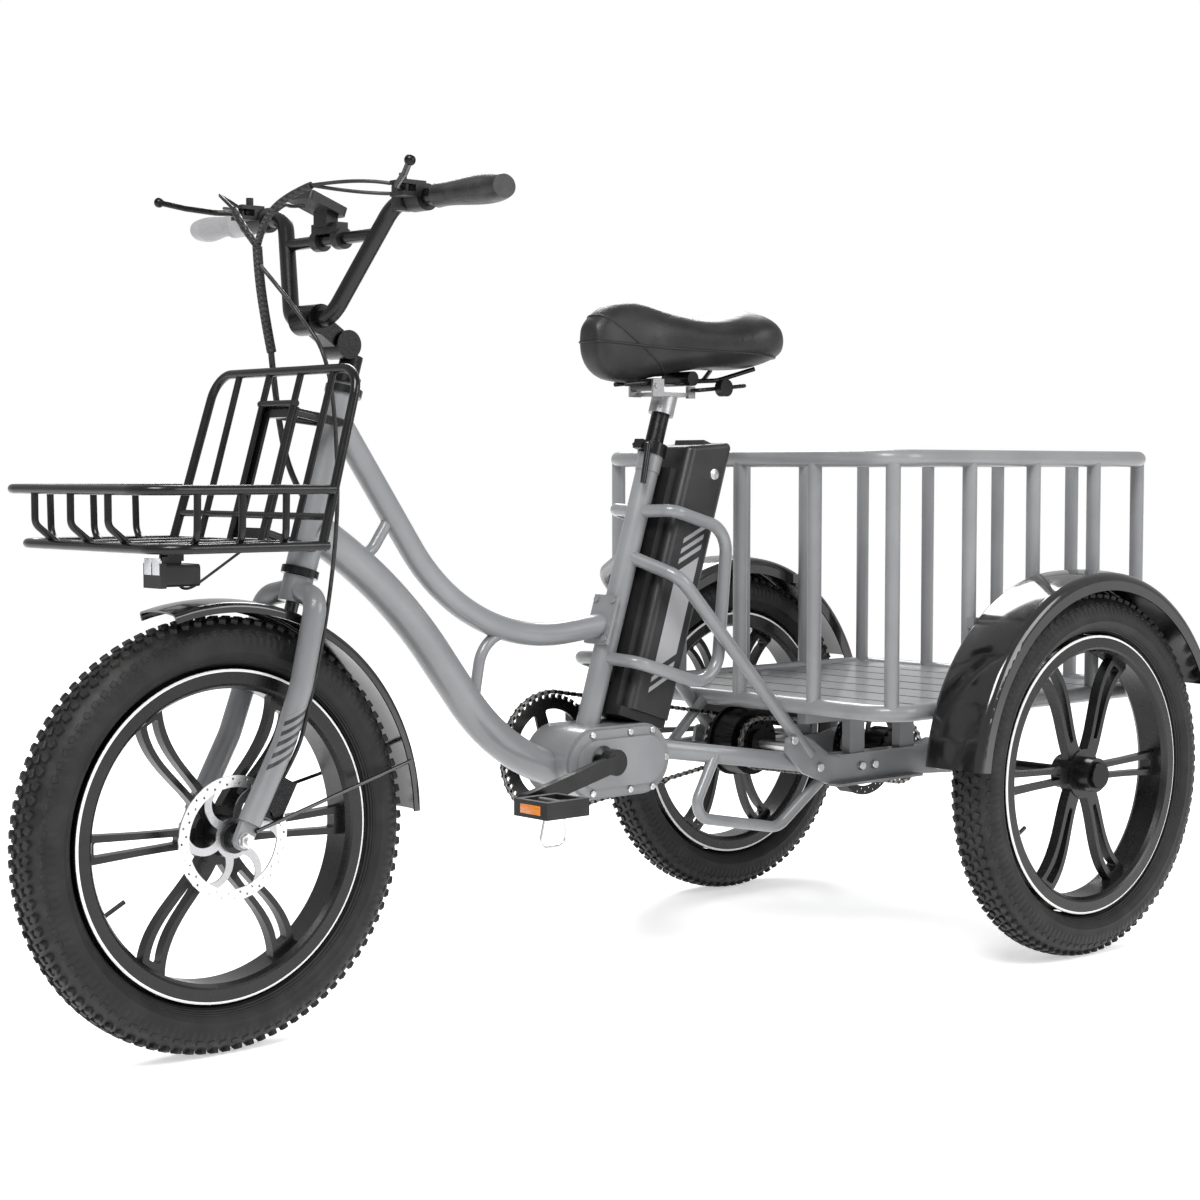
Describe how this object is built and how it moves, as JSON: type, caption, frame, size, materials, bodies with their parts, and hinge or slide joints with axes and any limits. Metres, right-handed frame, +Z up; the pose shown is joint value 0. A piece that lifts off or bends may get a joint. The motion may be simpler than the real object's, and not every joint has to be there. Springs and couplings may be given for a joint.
{
  "type": "adult cargo tricycle",
  "caption": "Grey step-through electric cargo tricycle: fat tyres, cast wheels, front wire basket, rear tube basket, seat-tube battery and chain drive.",
  "frame": {"origin": "on the ground under the middle of the machine's bounding box", "axes": "+X forward, +Y the rider's left, +Z up"},
  "size_m": [1.8765, 0.872, 1.12],
  "materials": {
    "frame_paint": "satin",
    "black_gloss": "gloss",
    "black_paint": "satin",
    "cast_rim": "satin black",
    "tyre": "matte",
    "steel": "brushed",
    "chain_steel": "oiled",
    "post_alloy": "black anodised",
    "black_plastic": "matte",
    "grip_rubber": "matte",
    "hose_rubber": "satin",
    "saddle_cover": "matte"
  },
  "bodies": {
    "frame": {"head_tube": "frame_paint", "headset_cups": "black_paint", "down_tube": "frame_paint", "top_tube": "frame_paint", "frame_braces": "frame_paint", "seat_tube": "frame_paint", "battery_guards": "frame_paint", "seat_stays": "frame_paint", "carrier_arms": "frame_paint", "rear_fenders": "black_gloss", "chainstays": "frame_paint", "drive_case": "frame_paint", "case_cover": "frame_paint", "basket_top_rail": "frame_paint", "basket_floor_rail": "frame_paint", "basket_posts": "frame_paint", "basket_slats": "frame_paint", "basket_supports": "frame_paint", "front_basket": "black_paint", "basket_bracket": "black_paint", "battery_cradle": "black_plastic", "frame_bolts": "steel", "seat_collar": "black_paint", "motor_controller": "black_plastic", "rear_caliper": "black_plastic", "chains": "chain_steel"},
    "steering": {"control_cables": "hose_rubber", "fork": "frame_paint", "stem": "black_paint", "handlebar": "black_paint", "grips": "grip_rubber", "lever_perches": "black_plastic", "front_fender": "black_gloss", "front_caliper": "black_plastic", "front_axle": "steel"},
    "display": {"display": "black_plastic"},
    "throttle": {"throttle_sleeve": "grip_rubber"},
    "brake_lever_left": {"brake_lever_left": "black_plastic"},
    "brake_lever_right": {"brake_lever_right": "black_plastic"},
    "headlight": {"headlight": "black_plastic"},
    "battery": {"battery": "black_plastic"},
    "seatpost": {"seatpost": "post_alloy", "seat_bracket": "black_paint"},
    "saddle": {"saddle": "saddle_cover", "saddle_rails": "black_paint"},
    "seat_latch": {"seat_latch": "black_paint"},
    "front_wheel": {"front_rim": "cast_rim", "front_tyre": "tyre", "front_rotor": "steel"},
    "rear_axle": {"rear_axle": "black_paint", "rear_left_rim": "cast_rim", "rear_left_tyre": "tyre"},
    "rear_right_wheel": {"rear_right_rim": "cast_rim", "rear_right_tyre": "tyre"},
    "crank": {"crankset": "black_paint", "chainring": "black_paint"},
    "pedal_left": {"pedal_left": "black_plastic"},
    "pedal_right": {"pedal_right": "black_plastic"},
    "hub_motor": {"hub_motor": "black_paint"},
    "freewheel": {"freewheel_sprocket": "steel"}
  },
  "joints": [
    {"name": "steering", "type": "hinge", "parent": "frame", "child": "steering", "pos_m": [0.52725, 0, 0.606], "axis": [-0.2874, 0, 0.9578], "range_deg": [-40, 40], "deforming": ["control_cables"]},
    {"name": "front_wheel_spin", "type": "hinge", "parent": "steering", "child": "front_wheel", "pos_m": [0.65825, 0, 0.28], "axis": [0, 1, 0], "continuous": true},
    {"name": "rear_axle_spin", "type": "hinge", "parent": "frame", "child": "rear_axle", "pos_m": [-0.64475, 0, 0.28], "axis": [0, 1, 0], "continuous": true},
    {"name": "rear_right_spin", "type": "hinge", "parent": "rear_axle", "child": "rear_right_wheel", "pos_m": [-0.64475, -0.383, 0.28], "axis": [0, 1, 0], "continuous": true},
    {"name": "crank_spin", "type": "hinge", "parent": "frame", "child": "crank", "pos_m": [0.04525, 0, 0.327], "axis": [0, 1, 0], "continuous": true},
    {"name": "pedal_left_spin", "type": "hinge", "parent": "crank", "child": "pedal_left", "pos_m": [0.2102, 0.137, 0.28587], "axis": [0, 1, 0], "continuous": true},
    {"name": "pedal_right_spin", "type": "hinge", "parent": "crank", "child": "pedal_right", "pos_m": [-0.1197, -0.137, 0.36813], "axis": [0, 1, 0], "continuous": true},
    {"name": "freewheel_spin", "type": "hinge", "parent": "frame", "child": "freewheel", "pos_m": [-0.30875, -0.06, 0.321], "axis": [0, 1, 0], "continuous": true},
    {"name": "motor_spin", "type": "hinge", "parent": "frame", "child": "hub_motor", "pos_m": [-0.30875, 0, 0.321], "axis": [0, 1, 0], "continuous": true},
    {"name": "seatpost_slide", "type": "slide", "parent": "frame", "child": "seatpost", "axis": [-0.3065, 0, 0.9519], "range_m": [-0.03, 0.09]},
    {"name": "saddle_tip", "type": "hinge", "parent": "seatpost", "child": "saddle", "pos_m": [-0.08875, 0, 0.869], "axis": [0, 1, 0], "range_deg": [0, 60]},
    {"name": "latch_turn", "type": "hinge", "parent": "seatpost", "child": "seat_latch", "pos_m": [-0.16475, 0, 0.8635], "axis": [0, 1, 0], "range_deg": [-12, 0], "stiffness_Nm_per_rad": 0.8, "springref_deg": 14.32},
    {"name": "battery_slide", "type": "slide", "parent": "frame", "child": "battery", "axis": [-0.3065, 0, 0.9519], "range_m": [0, 0.03]},
    {"name": "brake_lever_left_pull", "type": "hinge", "parent": "steering", "child": "brake_lever_left", "pos_m": [0.49325, 0.186, 1.095], "axis": [0, 0, 1], "range_deg": [0, 20], "stiffness_Nm_per_rad": 1, "springref_deg": -5.73},
    {"name": "brake_lever_right_pull", "type": "hinge", "parent": "steering", "child": "brake_lever_right", "pos_m": [0.49325, -0.186, 1.095], "axis": [0, 0, -1], "range_deg": [0, 20], "stiffness_Nm_per_rad": 1, "springref_deg": -5.73},
    {"name": "throttle_twist", "type": "hinge", "parent": "steering", "child": "throttle", "pos_m": [0.46025, -0.233, 1.086], "axis": [0, -1, 0], "range_deg": [0, 60], "stiffness_Nm_per_rad": 0.3, "springref_deg": -5.73},
    {"name": "display_tilt", "type": "hinge", "parent": "steering", "child": "display", "pos_m": [0.47325, 0, 1.046], "axis": [0, 1, 0], "range_deg": [-15, 15]},
    {"name": "headlight_tilt", "type": "hinge", "parent": "frame", "child": "headlight", "pos_m": [0.71825, 0, 0.635], "axis": [0, 1, 0], "range_deg": [-15, 12]}
  ],
  "couplings": [
    {"joint": "freewheel_spin", "follows": "crank_spin", "ratio": 2.625},
    {"joint": "motor_spin", "follows": "rear_axle_spin", "ratio": 1.375}
  ]
}
